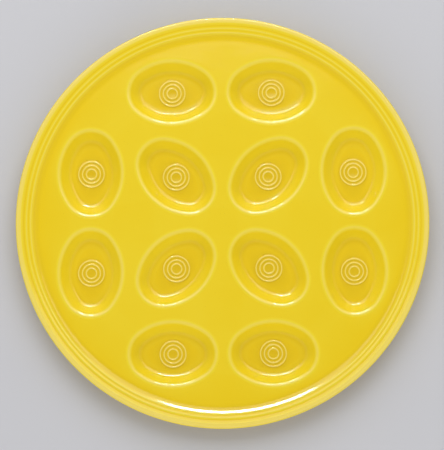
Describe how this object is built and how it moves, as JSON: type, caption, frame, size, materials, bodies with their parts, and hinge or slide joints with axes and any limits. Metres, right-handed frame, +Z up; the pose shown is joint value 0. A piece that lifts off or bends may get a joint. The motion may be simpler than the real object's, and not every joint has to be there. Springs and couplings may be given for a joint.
{
  "type": "devilled egg platter",
  "caption": "Round glazed stoneware platter with oval wells for devilled egg halves, a stepped rim and a foot ring.",
  "frame": {"origin": "on the table, at the centre of the foot ring", "axes": "+Z up, square to the table and the platter's field; +Y towards the pair of wells that is uppermost in the picture; +X to the right"},
  "size_m": [0.311, 0.311, 0.0192],
  "materials": {
    "fired_clay": "matt",
    "yellow_glaze": "gloss"
  },
  "bodies": {
    "root": {"clay_body": "fired_clay", "glaze_face_and_rim": "yellow_glaze", "glaze_inside_foot": "yellow_glaze"}
  },
  "joints": []
}
